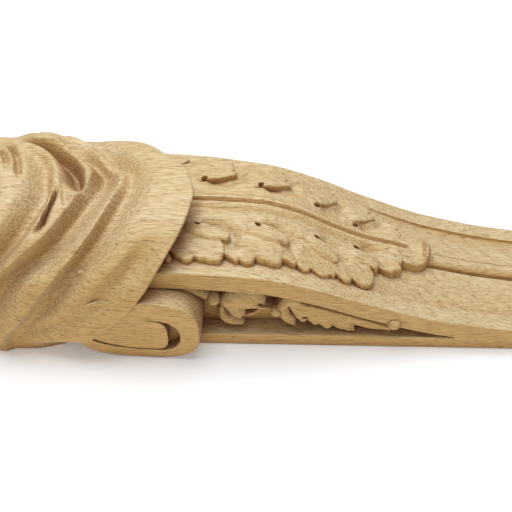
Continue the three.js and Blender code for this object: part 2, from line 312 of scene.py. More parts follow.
def around_section(share, z):
    """A point of the console's section: from the wall up one side, across the front and down again."""
    width = half_width(z)
    deep = front_depth(z)
    corner = width - ARRIS
    edges = [corner, width - BORDER, BEAD_HALF_WIDTH + QUIRK, BEAD_HALF_WIDTH]
    stops = edges + [-edge for edge in reversed(edges)]
    index = np.rint(share * SECTION_STEPS)
    x = -width
    depth = np.zeros(share.shape)
    begin = 0
    for kind, steps in SECTION:
        t = np.clip((index - begin) / steps, 0, 1)
        here = (index >= begin) & (index <= begin + steps)
        if kind == "up":
            x = np.where(here, -width, x)
            depth = np.where(here, t * (deep - ARRIS), depth)
        elif kind == "down":
            x = np.where(here, width, x)
            depth = np.where(here, (1 - t) * (deep - ARRIS), depth)
        elif kind in ("near arris", "far arris"):
            turn = t * math.pi / 2 if kind == "near arris" else (1 - t) * math.pi / 2
            out = corner + ARRIS * np.cos(turn)
            x = np.where(here, -out if kind == "near arris" else out, x)
            depth = np.where(here, deep - ARRIS + ARRIS * np.sin(turn), depth)
        else:
            across = lerp(-stops[kind], -stops[kind + 1], (1 - np.cos(math.pi * t)) / 2)
            x = np.where(here, across, x)
            depth = np.where(here, moulded_depth(across, z), depth)
        begin += steps
    return x, depth


console, across, along = grid("console", SECTION_STEPS, CONSOLE_ROWS)
z = lerp(TAIL, CONSOLE_TOP, along)
x, depth = around_section(across, z)
write_points(console, x, depth, z)
close_up(console, ends=(TAIL, CONSOLE_TOP))

# %% [markdown]
# Each side of the console is cut back between the plate on the wall and the band along the front,
# and the recess runs out to a point where the two meet. A cutter of that shape is swept up the
# length, wider at its mouth so that the arrises it leaves are soft, and a Boolean takes it out.


# %% Side recesses
CUTTER_SIDE = 7
CUTTER_ROWS = 150
CUTTER_REACH = 8


def recess_cutter(side):
    """The recess's shape: its floor, walls that flare at the mouth, and an end clear of the console."""
    cutter, round_it, up = grid("recess_cutter", 2 * CUTTER_SIDE, CUTTER_ROWS)
    z = lerp(RECESS_LOW, RECESS_TOP, up)
    under = np.maximum(front_depth(z) - BAND, PLATE + RECESS_LEAST)
    step = np.rint(round_it * 2 * CUTTER_SIDE).astype(int) % (2 * CUTTER_SIDE)
    out = np.zeros(z.shape)
    depth = np.zeros(z.shape)
    for i in range(CUTTER_SIDE):
        turn = min(i / (CUTTER_SIDE - 2), 1) * math.pi / 2
        flare = ARRIS * (1 - math.cos(turn))
        reach = -ARRIS * math.cos(turn)
        if i == 0:
            reach = -RECESS
        if i == CUTTER_SIDE - 1:
            reach = CUTTER_REACH
        here = step == i
        back = step == 2 * CUTTER_SIDE - 1 - i
        out = np.where(here | back, reach, out)
        depth = np.where(here, under + flare, np.where(back, PLATE - flare, depth))
    write_points(cutter, side * (half_width(z) + out), depth, z)
    close_up(cutter, ends=(RECESS_LOW, RECESS_TOP))
    return cutter


for side in (-1, 1):
    cut(console, recess_cutter(side))
finish_mesh(console)

# %% [markdown]
# Between the console, the volute and the cloth the wood is left solid. It is a plain block, sunk in
# all three, and only its back shows, a hair in front of the wall.

# %% Heart of the block
HEART_LOW = 110
HEART_HIGH = 232
HEART_HALF_WIDTH = 70
HEART_DEPTH = 72
HEART_BACK = 0.3
bpy.ops.mesh.primitive_cube_add(size=1)
heart = bpy.context.active_object
heart.name = "heart"
heart.data.name = "heart"
bpy.ops.object.mode_set(mode="EDIT")
bpy.ops.transform.resize(
    value=(2 * HEART_HALF_WIDTH * MM, (HEART_DEPTH - HEART_BACK) * MM, (HEART_HIGH - HEART_LOW) * MM)
)
bpy.ops.transform.translate(
    value=(0, -(HEART_DEPTH + HEART_BACK) / 2 * MM, (HEART_LOW + HEART_HIGH) / 2 * MM)
)
bpy.ops.object.mode_set(mode="OBJECT")

# %% [markdown]
# The volute is a fat roll across the bracket behind the cloth. On each end a tongue curls round
# inside it: a thin groove follows the tongue's back and underside, and opens to a hollow at its tip.
# The roll is a rounded outline swept across the width, and the end cuts are Booleans again.

# %% Volute
VOLUTE_PROUD = 16.5
VOLUTE_LOW = 74
VOLUTE_HIGH = 186
VOLUTE_DEPTH = 77
VOLUTE_BACK = 0.2
VOLUTE_ARRIS = 1.6
VOLUTE_SQUARENESS = 3
ROLL_POINTS = 180
ROLL_STEPS = 60
ROLL_ARRIS_STEPS = 5
EYE_TIP = 102
EYE_LOW = 14
EYE_HIGH = 54
EYE_HOLLOW = 11
EYE_GROOVE = 1.4
EYE_TOP_GROOVE = 0.5
EYE_CUT = 9
EYE_CLEAR = 5
RING_SQUARENESS = (2.3, 2.6)
TONGUE_SQUARENESS = (3.6, 1.9)
TONGUE_POINTS = 96
volute_middle = (VOLUTE_LOW + VOLUTE_HIGH) / 2
volute_half_width = half_width(volute_middle) + VOLUTE_PROUD


def rounded(turn, a, b, squareness):
    """A point of a rounded rectangle of half sizes a and b, as squared as squareness says."""
    c = np.cos(turn)
    s = np.sin(turn)
    return a * np.sign(c) * np.abs(c) ** (2 / squareness), b * np.sign(s) * np.abs(s) ** (2 / squareness)


def swept_roll():
    """The roll across the bracket, whose outline draws in round both ends."""
    roll, round_it, across = grid("volute", ROLL_POINTS, ROLL_STEPS)
    index = np.rint(across * ROLL_STEPS)
    from_end = np.minimum(index, ROLL_STEPS - index)
    turn = np.clip(from_end / ROLL_ARRIS_STEPS, 0, 1) * math.pi / 2
    flat = volute_half_width - VOLUTE_ARRIS
    share = (index - ROLL_ARRIS_STEPS) / (ROLL_STEPS - 2 * ROLL_ARRIS_STEPS)
    middle = lerp(-flat, flat, np.clip(share, 0, 1))
    end = (volute_half_width - VOLUTE_ARRIS * (1 - np.cos(turn))) * np.sign(index - ROLL_STEPS / 2)
    x = np.where(from_end < ROLL_ARRIS_STEPS, end, middle)
    inset = VOLUTE_ARRIS * (1 - np.sin(turn))
    half = (VOLUTE_HIGH - VOLUTE_LOW) / 2 - inset
    deep = VOLUTE_DEPTH / 2 - inset
    up, out = rounded(round_it * 2 * math.pi, half, deep, VOLUTE_SQUARENESS)
    write_points(roll, x, VOLUTE_DEPTH / 2 + out + VOLUTE_BACK, volute_middle + up)
    close_up(roll)
    return roll


def tongue_prism(tip, low, high, squareness, side, inset):
    """A tongue with a rounded tip, whose underside climbs away from the wall towards the head."""
    half = (high - low) / 2
    top = VOLUTE_HIGH - EYE_HOLLOW
    prism, round_it, across = grid("tongue", TONGUE_POINTS, 1)
    turn = round_it * 2 * math.pi
    up, out = rounded(turn, half, half, squareness[0])
    head_up, head_out = rounded(turn, half, half, squareness[1])
    climbs = (up > 0) & (out < 0)
    up = np.where(climbs, head_up, up)
    out = np.where(climbs, head_out, out)
    z = np.where(up < 0, tip + half + up, lerp(tip + half, top, up / half))
    sunk = volute_half_width - EYE_CUT - inset
    clear = volute_half_width + EYE_CLEAR + inset
    write_points(prism, side * np.where(across < 0.5, sunk, clear), (low + high) / 2 + out, z)
    close_up(prism)
    return prism


volute = swept_roll()
for side in (-1, 1):
    ring_tip = EYE_TIP - EYE_HOLLOW
    ring_low = EYE_LOW - EYE_GROOVE
    ring = tongue_prism(ring_tip, ring_low, EYE_HIGH + EYE_TOP_GROOVE, RING_SQUARENESS, side, 0)
    cut(ring, tongue_prism(EYE_TIP, EYE_LOW, EYE_HIGH, TONGUE_SQUARENESS, side, 1))
    cut(volute, ring)
volute = joined("volute", [volute, heart])
finish_mesh(volute)

# %% [markdown]
# The cloth is wood too. It wraps the head from the wall round to the wall, and its folds run down
# and round from the far side. The section is a rounded rectangle, the hem climbs towards the wall,
# and each fold is a valley with a steep bank and a gentle one. The valleys are laid on a fine grid.

# %% Cloth sizes
CLOTH_HALF_WIDTH = 102
CLOTH_DEPTH = 138
CLOTH_SWELL = 4
HEAD_DRAW = 10
FAR_DRAW = 5
CLOTH_SQUARENESS = 2.8
CLOTH_TUCK_DEPTH = 34
HEM_ROUND = 1.6
CLOTH_CORE = 171
CORE_SHARE = 0.4
UNDERSIDE_CURVE = 0.35
SOFT_SHARE = 0.62
# How many millimetres count as a degree where the slope of a fold is worked out.
DEGREE_WIDTH = math.pi * CLOTH_HALF_WIDTH / 90

# Each fold is a valley along a line of angle round the head and height. Its bank on the head side
# rises to a crest in so many millimetres, and the one on the tail side dies away.
FOLDS = [
    # Three long folds, from the near wall up to the crest
    dict(line=[(0, 276), (20, 249), (34, 230), (41, 215), (53, 194), (65, 180), (78, 169), (90, 161),
               (97, 167), (104, 182), (112, 205), (120, 232), (130, 262)],
         ends=(-8, 4, 90, 108), depth=13, head=10, tail=15, crisp=0.8),
    dict(line=[(0, 243), (14, 217), (27, 195), (40, 177), (50, 164), (59, 155), (69, 147), (81, 140),
               (95, 134)],
         ends=(-4, 8, 82, 94), depth=11, head=8.5, tail=14, crisp=0.75),
    dict(line=[(0, 232), (9, 208), (17, 181), (26, 159), (35, 142), (43, 129), (51, 120), (66, 108)],
         ends=(2, 12, 46, 64), depth=5, head=12, tail=13, crisp=0.3),
    # A broad hollow, the deep pocket at its end, and two narrow creases
    dict(line=[(20, 266), (40, 242), (52, 226), (61, 217), (71, 210), (80, 206), (89, 210), (96, 224),
               (104, 246)],
         ends=(4, 24, 88, 102), depth=11, head=17, tail=8, crisp=0.3),
    dict(line=[(76, 174), (84, 178), (89, 183), (93, 190), (98, 200), (102, 211), (104, 221), (107, 238)],
         ends=(80, 90, 104, 112), depth=19, head=15, tail=5.5, crisp=0.0),
    dict(line=[(55, 208), (59, 205), (65, 201), (75, 198), (88, 196)],
         ends=(55, 66, 78, 89), depth=8, head=3, tail=3, crisp=0.2),
    dict(line=[(72, 183), (76, 185), (87, 193), (92, 198)],
         ends=(73, 78, 85, 90), depth=3, head=3, tail=5, crisp=0.8),
    # Three folds that run down the far side
    dict(line=[(80, 133), (86, 134), (90, 138), (95, 149), (100, 159), (107, 170), (118, 196), (140, 245),
               (170, 290)],
         ends=(84, 92, 150, 172), depth=6.5, head=8, tail=11, crisp=0.5),
    dict(line=[(82, 164), (90, 166), (97, 176), (103, 187), (112, 206), (120, 232), (130, 262)],
         ends=(84, 98, 116, 136), depth=12, head=13, tail=14, crisp=0.2),
    dict(line=[(100, 150), (112, 166), (130, 200), (150, 238), (175, 284)],
         ends=(108, 124, 156, 172), depth=6, head=9, tail=13, crisp=0.4),
    # Two short creases and a shallow fold near the head
    dict(line=[(88, 240), (91, 245), (96, 254), (102, 268)],
         ends=(88, 92, 97, 102), depth=4, head=3, tail=4, crisp=0.4),
    dict(line=[(84, 226), (88, 230), (91, 235), (99, 248), (104, 258)],
         ends=(84, 90, 98, 104), depth=5, head=3.5, tail=4, crisp=0.4),
    dict(line=[(10, 290), (30, 276), (50, 262), (70, 252), (88, 252)],
         ends=(10, 30, 76, 92), depth=7, head=14, tail=9, crisp=0.2),
]

# The hem's height at each angle from the near wall.
hem_level = curve_through(
    (0, 199), (2, 190), (5, 177), (11, 157), (20, 135), (32, 117), (43, 106), (52, 98), (64, 88.5),
    (76, 82.5), (83, 81), (88, 84), (92, 92), (97, 106), (103, 119), (115, 138), (130, 158), (150, 180),
    (170, 194), (180, 199),
)
# How far the cloth draws in under its widest part, where it meets the wall.
cloth_tuck = curve_through((180, 24), (200, 20), (220, 14), (250, 8), (300, 4))


# %% Cloth surface
def fold_depth(turn, z):
    """How deep all the folds together lie at an angle and a height."""
    total = np.zeros(z.shape)
    for fold in FOLDS:
        line = curve_through(*fold["line"])
        slope = (line(turn + 0.5) - line(turn - 0.5)) / DEGREE_WIDTH
        distance = (z - line(turn)) / np.hypot(1, slope)
        soft = hump(distance, 0, np.where(distance > 0, SOFT_SHARE * fold["head"], fold["tail"]))
        crest = np.cos(math.pi / 2 * np.clip(distance / fold["head"], 0, 1))
        profile = np.where(distance > 0, lerp(soft, crest, fold["crisp"]), soft)
        begin, full, fading, gone = fold["ends"]
        total += fold["depth"] * blend(begin, full, turn) * (1 - blend(fading, gone, turn)) * profile
    return total


def cloth_point(turn, z, inset):
    """A point of the cloth. It swells towards the head, and draws in on the far side in two places."""
    swell = CLOTH_SWELL * blend(190, 215, z)
    swell -= HEAD_DRAW * blend(232, 264, z) * blend(84, 112, turn)
    swell -= FAR_DRAW * blend(118, 152, z) * (1 - blend(180, 206, z)) * blend(92, 110, turn)
    push = fold_depth(turn, z) + inset
    half = CLOTH_HALF_WIDTH - push
    x, depth = rounded(np.radians(turn), half, CLOTH_DEPTH + swell - push, CLOTH_SQUARENESS)
    tuck = cloth_tuck(z) * (1 - blend(0, CLOTH_TUCK_DEPTH, depth))
    return -(x - np.sign(x) * tuck), depth


# %% Cloth
CLOTH_COLUMNS = 336
CLOTH_ROWS = 250
CORE_ROWS = 6
HEM_ROWS = 14
cloth, around, up = grid("cloth", CLOTH_COLUMNS, CLOTH_ROWS)
turn = 180 * around
row = np.rint(up * CLOTH_ROWS)
hem = hem_level(turn)

# The outer face, from the hem to the head
share = np.clip((row - HEM_ROWS) / (CLOTH_ROWS - HEM_ROWS), 0, 1)
z = lerp(hem + HEM_ROUND, HEAD, share)
x, depth = cloth_point(turn, z, 0)

# The rounding of the hem
edge = np.clip((row - CORE_ROWS) / (HEM_ROWS - CORE_ROWS), 0, 1) * math.pi / 2
edge_z = hem + HEM_ROUND * (1 - np.cos(edge))
edge_x, edge_depth = cloth_point(turn, edge_z, HEM_ROUND * (1 - np.sin(edge)))
on_edge = row < HEM_ROWS
x = np.where(on_edge, edge_x, x)
depth = np.where(on_edge, edge_depth, depth)
z = np.where(on_edge, edge_z, z)

# The underside, from the hem in to the core
below = row < CORE_ROWS
under = np.clip(row / CORE_ROWS, 0, 1)
inner_x, inner_depth = cloth_point(turn, hem, HEM_ROUND)
x = np.where(below, inner_x * lerp(CORE_SHARE, 1, under), x)
depth = np.where(below, inner_depth * lerp(CORE_SHARE, 1, under), depth)
z = np.where(below, lerp(CLOTH_CORE, hem, under ** UNDERSIDE_CURVE), z)
write_points(cloth, x, depth, z)
close_up(cloth, ends=(CLOTH_CORE, HEAD))
finish_mesh(cloth)

# %% [markdown]
# Leaf and garland are relief: lobes and buds that stand on a ground. Each lobe is drawn as a brush
# stroke, a curved line that widens towards its tip. A leaflet is the outline of several strokes
# together, and each stroke is highest along its line, so a vein lies where two strokes meet. The
# grid is cut out along that outline, its edge points are moved exactly onto it, and its rim is
# extruded straight down into the ground, which gives the crisp wall that a chisel leaves.


# %% Strokes
NOWHERE = -1e9
STROKE_STEPS = 16
START_SUNK = 1.5
# The rise of a stroke that has its full height from its start on.
FROM_START = (-2, -1)


def stroke(start, bend, tip, radii, lift, dome, rise=(0.15, 0.8), drop=0.0, flat=4, hollow=0.0):
    """radii are the half widths at the start, at two thirds of the way and at the end."""
    return dict(
        start=start, bend=bend, tip=tip, radii=radii, lift=lift, dome=dome, rise=rise, drop=drop,
        flat=flat, hollow=hollow,
    )


def measure_stroke(p, q, one):
    """How far inside the stroke each point is, its share of the half width, and its place along it."""
    start, bend, tip = (np.array(one[key], float) for key in ("start", "bend", "tip"))
    steps = np.linspace(0, 1, STROKE_STEPS + 1)[:, None]
    line = (1 - steps) ** 2 * start + 2 * steps * (1 - steps) * bend + steps ** 2 * tip
    radii = curve_through(*zip((0, 0.66, 1), one["radii"]))(steps[:, 0])
    inside = np.full(p.shape, NOWHERE)
    share = np.full(p.shape, -NOWHERE)
    place = np.zeros(p.shape)
    for i in range(STROKE_STEPS):
        run = line[i + 1] - line[i]
        t = np.clip(((p - line[i, 0]) * run[0] + (q - line[i, 1]) * run[1]) / (run @ run), 0, 1)
        away = np.hypot(p - line[i, 0] - t * run[0], q - line[i, 1] - t * run[1])
        radius = lerp(radii[i], radii[i + 1], t)
        closer = radius - away > inside
        inside = np.where(closer, radius - away, inside)
        nearer = away / radius < share
        share = np.where(nearer, away / radius, share)
        place = np.where(nearer, (i + t) / STROKE_STEPS, place)
    return inside, share, place


def strokes_together(p, q, strokes):
    """The joined outline's inside distance, and the height of the highest stroke over the ground."""
    inside = np.full(p.shape, NOWHERE)
    height = np.full(p.shape, NOWHERE)
    for one in strokes:
        within, share, place = measure_stroke(p, q, one)
        rise = lerp(-START_SUNK, one["lift"], blend(*one["rise"], place))
        rise -= one["drop"] * blend(0.75, 1, place)
        scoop = one["hollow"] * np.clip(1 - share ** 2, 0, 1) ** 2 * blend(0.4, 0.8, place)
        inside = np.maximum(inside, within)
        height = np.maximum(height, rise - one["dome"] * share ** one["flat"] - scoop)
    return inside, height


# %% Relief cut out along its outline
NUDGES = 3
PROBE = 0.05
NEAR_SHARE = 0.75
LEAST_SLOPE = 0.2
WELD_SHARE = 0.04


def move_onto_outline(p, q, strokes, cell):
    """Moves the points next to the outline onto it, and says which they are."""
    near = np.abs(strokes_together(p, q, strokes)[0]) < NEAR_SHARE * cell
    for _ in range(NUDGES):
        here = strokes_together(p[near], q[near], strokes)[0]
        slope_p = (strokes_together(p[near] + PROBE, q[near], strokes)[0] - here) / PROBE
        slope_q = (strokes_together(p[near], q[near] + PROBE, strokes)[0] - here) / PROBE
        steep = np.maximum(slope_p ** 2 + slope_q ** 2, LEAST_SLOPE)
        p[near] -= here * slope_p / steep
        q[near] -= here * slope_q / steep
    return near


def cut_out(piece, inside, near, cell):
    """Deletes the faces outside the outline, and welds edge points that lie close together."""
    corners = np.empty(len(piece.data.loops), int)
    piece.data.loops.foreach_get("vertex_index", corners)
    corners = corners.reshape(-1, 4)
    gone = (inside < -1e-6)[corners].any(1) | near[corners].all(1)
    bpy.context.tool_settings.mesh_select_mode = (False, False, True)
    piece.data.vertices.foreach_set("select", np.zeros(len(piece.data.vertices), bool))
    piece.data.edges.foreach_set("select", np.zeros(len(piece.data.edges), bool))
    piece.data.polygons.foreach_set("select", gone)
    bpy.ops.object.mode_set(mode="EDIT")
    bpy.ops.mesh.delete(type="FACE")
    bpy.ops.mesh.select_mode(type="VERT")
    bpy.ops.mesh.select_all(action="SELECT")
    bpy.ops.mesh.delete_loose(use_verts=True, use_edges=True, use_faces=False)
    bpy.ops.mesh.select_all(action="SELECT")
    bpy.ops.mesh.remove_doubles(threshold=WELD_SHARE * cell * MM)


def sink_rim(piece, place, sunk):
    """Extrudes the rim straight down into the ground, and closes the form there."""
    select_open_edges(piece)
    origin = np.array(place(np.zeros(1), np.zeros(1), np.zeros(1))).ravel()
    raised = np.array(place(np.zeros(1), np.zeros(1), np.ones(1))).ravel()
    way = raised - origin
    down = Vector((-way[0], way[1], -way[2])) * sunk * MM
    bpy.ops.mesh.extrude_region_move(TRANSFORM_OT_translate={"value": down})
    bpy.ops.mesh.edge_face_add()
    bpy.ops.mesh.select_all(action="SELECT")
    bpy.ops.mesh.normals_make_consistent(inside=False)
    bpy.ops.object.mode_set(mode="OBJECT")


def relief(name, strokes, ground, place, sunk, cell=0.65, arris=0.7, detail=None):
    """A carved form: ground(p, q) is what it stands on, and place(p, q, height) puts it in the frame."""
    reach = max(max(one["radii"]) for one in strokes) + 2 * cell
    ends = np.array([one[key] for one in strokes for key in ("start", "bend", "tip")], float)
    low = ends.min(0) - reach
    high = ends.max(0) + reach
    columns, rows = (int(side) for side in np.ceil((high - low) / cell))
    piece, along_p, along_q = grid(name, columns, rows)
    p = lerp(low[0], high[0], along_p)
    q = lerp(low[1], high[1], along_q)
    near = move_onto_outline(p, q, strokes, cell)
    inside, height = strokes_together(p, q, strokes)
    inside = np.where(near, 0, inside)
    height = ground(p, q) + height
    if detail is not None:
        height = height + detail(p, q)
    rim = np.clip(1 - inside / arris, 0, 1)
    height = height - arris * (1 - np.sqrt(1 - rim ** 2))
    write_points(piece, *place(p, q, height))
    cut_out(piece, inside, near, cell)
    sink_rim(piece, place, sunk)
    return piece


# %% [markdown]
# The leaf lies on the front with its stem under the cloth and its tip curled up near the tail. Down
# each side go five leaflets, and each overlaps the next: its last lobe curls over the one behind it,
# and a small drilled eye marks where they part. Real acanthus carving is laid out in this order too.

# %% Leaf sizes
leaf_reach = curve_through(
    (-129, 8), (-123, 13), (-112, 18), (-92, 31), (-68, 50), (-30, 52), (10, 60), (60, 64), (125, 66)
)
leaf_rise = curve_through(
    (-129, 9.5), (-112, 7.5), (-104, 6.5), (-88, 6.6), (-64, 8.5), (-35, 12), (-5, 17), (24, 18),
    (59, 16), (125, 12)
)
LEAF_EDGE = 4.6
GROOVE_DEPTH = 3.0
GROOVE_HALF_WIDTH = 2.4
STEM_RISE = 1.3
VALLEY_DEPTH = 1.6
# Each eye's distance from the middle and its height, and the direction in which it is long.
EYES = [(28, 79), (25, 28), (20, -23), (14, -59)]
EYE_WAY = (-0.6, 0.8)
EYE_LENGTH = 1.5
EYE_RADIUS = 1.9
EYE_DEPTH = 7
SCOOPS = [
    [(27, 78), (29, 56), (35, 47), (44, 49)],
    [(24, 26), (25, 8), (30, -2), (38, -1)],
    [(19, -25), (22, -42), (30, -47)],
    [(13, -61), (16, -78), (24, -84)],
]
SCOOP_WIDTH = 6
SCOOP_DEPTH = 4.2


def leaf_ground(s, z):
    """Depth of the leaf's smooth form: its crown along the middle falls away to its edge."""
    side = np.abs(s)
    share = np.clip(side / leaf_reach(z), 0, 1.2)
    return field_depth(side, z) + lerp(leaf_rise(z), LEAF_EDGE, share ** 1.3)


def on_front(side):
    """Puts a relief on the front: p is the distance from the middle, q the height up the bracket."""
    return lambda p, q, height: (side * p, height, q)


def scooped(side, z, line):
    """How deep a gouge has cut beside a line of points: nothing where it starts, all of it further on."""
    deepest = np.zeros(z.shape)
    for i, (start, end) in enumerate(zip(line, line[1:])):
        run_s = end[0] - start[0]
        run_z = end[1] - start[1]
        along = (side - start[0]) * run_s + (z - start[1]) * run_z
        t = np.clip(along / (run_s ** 2 + run_z ** 2), 0, 1)
        away = np.hypot(side - start[0] - t * run_s, z - start[1] - t * run_z)
        begun = blend(-0.05, 0.4, t) if i == 0 else 1
        deepest = np.maximum(deepest, begun * hump(away, 0, SCOOP_WIDTH))
    return deepest


def carved_lines(s, z, own=None):
    """The groove down the middle, the stem beside it, the valley next to that, the eyes, and the
    ground scooped out beside each leaflet's last lobe, but for the lobe that is being carved."""
    side = np.abs(s)
    fade = blend(-112, -104, z)
    groove = GROOVE_DEPTH * np.clip(1 - side / GROOVE_HALF_WIDTH, 0, 1) ** 0.7 * fade
    stem = STEM_RISE * hump(side, 5, 3.2) * fade
    valley = VALLEY_DEPTH * hump(side, 12, 4) * blend(-100, -60, z)
    total = stem - groove - valley
    for eye_s, eye_z in EYES:
        along = (side - eye_s) * EYE_WAY[0] + (z - eye_z) * EYE_WAY[1]
        across = (side - eye_s) * EYE_WAY[1] - (z - eye_z) * EYE_WAY[0]
        away = np.hypot(along / EYE_LENGTH, across) / EYE_RADIUS
        total -= EYE_DEPTH * np.clip(1 - away ** 4, 0, 1)
    for i, line in enumerate(SCOOPS):
        if i != own:
            total -= SCOOP_DEPTH * scooped(side, z, line)
    return total


# %% Leaf
LEAFLETS = {
    "first": [
        stroke((6, 150), (34, 128), (61, 100), (5, 8, 3), 0.0, 0.8),
        stroke((6, 145), (32, 118), (57, 85), (5, 9, 6.5), 0.4, 1.0, hollow=0.4),
        stroke((30, 112), (50, 95), (58.5, 85), (4, 6, 4), 0.2, 0.9),
        stroke((5, 140), (30, 98), (51, 65), (6, 13, 11), 1.9, 1.3, drop=0.3, hollow=1.2),
        stroke((24, 116), (44, 88), (51.5, 72), (5, 9, 9.5), 1.2, 1.2),
        stroke((30, 92), (48, 72), (57.5, 60), (4, 9, 4.5), 1.2, 1.1),
        stroke((30, 96), (33, 72), (39, 54.5), (6, 6, 4), 3.2, 1.0, rise=(-0.1, 0.4)),
    ],
    "second": [
        stroke((6, 98), (34, 76), (56, 44.5), (5, 6.5, 3), 0.0, 0.8),
        stroke((6, 95), (32, 68), (53, 35.5), (5, 8, 7), 0.6, 1.0, hollow=0.6),
        stroke((30, 64), (49, 45), (56, 35), (4, 5, 4), 0.3, 0.9),
        stroke((5, 92), (28, 50), (46.5, 15), (6, 12.5, 10.5), 1.9, 1.3, drop=0.3, hollow=1.2),
        stroke((22, 62), (40, 38), (47, 23), (5, 9, 9), 1.2, 1.2),
        stroke((26, 44), (44, 22), (52.5, 11), (4, 9, 4.5), 1.2, 1.1),
        stroke((26, 44), (29, 22), (34.5, 5), (6, 6, 4), 3.2, 1.0, rise=(-0.1, 0.4)),
    ],
    "third": [
        stroke((5, 50), (30, 24), (50, -3), (5, 12, 3), 0.9, 0.5, hollow=0.3),
        stroke((5, 40), (24, 12), (36, -5), (5, 9, 6), 0.9, 0.5),
        stroke((5, 42), (30, 10), (50, -13), (6, 9, 5), -0.3, 0.5),
        stroke((4, 34), (28, -2), (47, -28), (6, 12, 8), -0.1, 0.6, hollow=0.4),
        stroke((20, -2), (36, -24), (49, -37), (4, 8, 3), 0.2, 0.7),
        stroke((20, -6), (26, -24), (36, -38.5), (5, 6, 4), 2.8, 1.0, rise=(0.0, 0.6)),
    ],
    "fourth": [
        stroke((5, 2), (30, -24), (48.5, -49), (5, 7, 5), 0.3, 0.7),
        stroke((4, -2), (22, -36), (41, -63.5), (6, 12, 11), 1.0, 1.0, hollow=0.5),
        stroke((18, -44), (22, -62), (29.5, -74.5), (5, 5.5, 4), 2.8, 0.9, rise=(0.0, 0.6)),
    ],
    "fifth": [
        stroke((3, -40), (16, -66), (22.5, -89), (5, 9, 8), 1.2, 0.9, hollow=0.3),
        stroke((8, -60), (19, -82), (24.5, -96), (5, 8, 4), 0.9, 0.8),
        stroke((3, -40), (10, -70), (14, -94), (5, 8.5, 8), 1.2, 0.9),
    ],
}
WEB = [
    stroke((0, 150), (0, 60), (0, -20), (44, 34, 26), 0, 0, rise=FROM_START),
    stroke((0, -20), (0, -60), (0, -108), (26, 15, 11), 0, 0, rise=FROM_START),
]
TIP = [stroke((0, -60), (0, -92), (0, -110.5), (9, 15, 18), 0.6, 0.8, rise=(-0.5, 0.5))]
TIP_HALF_WIDTH = 19
LIP_LEVEL = -124.5
LIP_RISE = 6.5
TIP_SCOOP_LEVEL = -109
TIP_SCOOP = 1.6


def tip_lines(s, z):
    """The tip's lip curls up across its end."""
    across = 1 - (s / TIP_HALF_WIDTH) ** 2
    lip = LIP_RISE * hump(z, LIP_LEVEL, 3) * across
    scoop = TIP_SCOOP * hump(z, TIP_SCOOP_LEVEL, 8) * across
    return carved_lines(s, z) + lip - scoop


web = relief("web", WEB, leaf_ground, on_front(1), detail=carved_lines, sunk=12)
tip = relief("tip", TIP, leaf_ground, on_front(1), detail=tip_lines, sunk=16, arris=1.2)
leaf = joined("acanthus_leaf", [web, tip])
finish_mesh(leaf)
leaflets = [
    relief(name, strokes, leaf_ground, on_front(-1), sunk=12, detail=partial(carved_lines, own=own))
    for own, (name, strokes) in enumerate(LEAFLETS.items())
]
near_leaflets = joined("leaflets_near", leaflets)
finish_mesh(near_leaflets)
far_leaflets = mirrored_copy(near_leaflets, "leaflets_far")

# %% [markdown]
# A garland hangs in each side recess: a stem, a ball, an open bud with its pistil, a ball, a calyx
# and a lobed leaf that ends in a last ball. It is relief like the leaf, seen from the side, so the
# same strokes draw it, with the height measured out from the floor of the recess.

# %% Garland
GARLAND = {
    "stem": [stroke((104, 80), (86, 71), (70, 60), (7, 5.5, 4.5), 14, 4, rise=FROM_START, flat=2)],
    "lower_petal": [stroke((57, 44), (60, 21), (40, 21.5), (3.5, 6, 3), 12, 4, rise=FROM_START, flat=2)],
    "far_petal": [stroke((42, 24), (28, 24), (21, 40), (3, 1.8, 1.2), 5, 1, rise=FROM_START)],
    "upper_petal": [
        stroke((52, 54), (43, 60), (28, 57), (8, 13, 6), 17, 6, rise=FROM_START, flat=2),
        stroke((49, 52), (45, 42), (41, 34), (8, 7.5, 2), 15.5, 4, rise=FROM_START, flat=2),
        stroke((42, 60), (28, 64), (19.5, 54), (10, 7, 1.2), 15.5, 4, rise=FROM_START, flat=2),
        stroke((40, 52), (32, 50), (25, 51), (8, 5, 1.2), 15, 3, rise=FROM_START, flat=2),
    ],
    "pistil": [stroke((36, 46), (24, 46), (12, 43), (2.2, 1.4, 1.2), 12, 1, rise=FROM_START)],
    "calyx": [
        stroke((5, 48), (0, 60), (-9, 57), (4.5, 7, 4), 16.5, 4, rise=FROM_START, flat=2),
        stroke((3, 44), (3, 33), (-8, 24.5), (5, 6, 1), 15, 4, rise=FROM_START, flat=2),
    ],
    "side_leaf": [
        stroke((-8, 56), (-14, 40), (-14.5, 30), (10, 8, 4), 13, 2, rise=FROM_START),
        stroke((-14, 54), (-24, 36), (-26, 25.5), (10, 7, 4), 13.5, 2, rise=FROM_START, drop=0.8),
        stroke((-20, 52), (-34, 34), (-36.5, 22), (10, 8, 5), 14, 2, rise=FROM_START, drop=0.8),
        stroke((-30, 46), (-46, 32), (-56, 18), (9, 9, 4.5), 14, 2, rise=FROM_START, drop=0.8),
        stroke((-40, 36), (-54, 24), (-61.5, 14.5), (6, 5, 0.8), 13, 2, rise=FROM_START),
        stroke((-40, 40), (-68, 28), (-92, 19), (8, 7.5, 2.5), 13.5, 2, rise=FROM_START),
        stroke((-8, 58), (-45, 46), (-88, 30), (8, 8, 6), 13, 2, rise=FROM_START),
    ],
}
# Each ball's height, depth and radius, and how far its face stands out from the recess's floor.
BALLS = [(64, 57, 7, 16.5), (9.5, 40.5, 6, 15.5), (-94, 33.5, 7, 22)]
BALL_STRETCH = 1.1
# The drilled hole's height and depth, and its size along and across the leaf.
LEAF_HOLE = (-16, 33.5)
LEAF_HOLE_SIZE = (2.6, 1.3)
LEAF_HOLE_DEPTH = 9
BAND_DIP = 9
UNDERCUT = 3
CORE_SUNK = 5


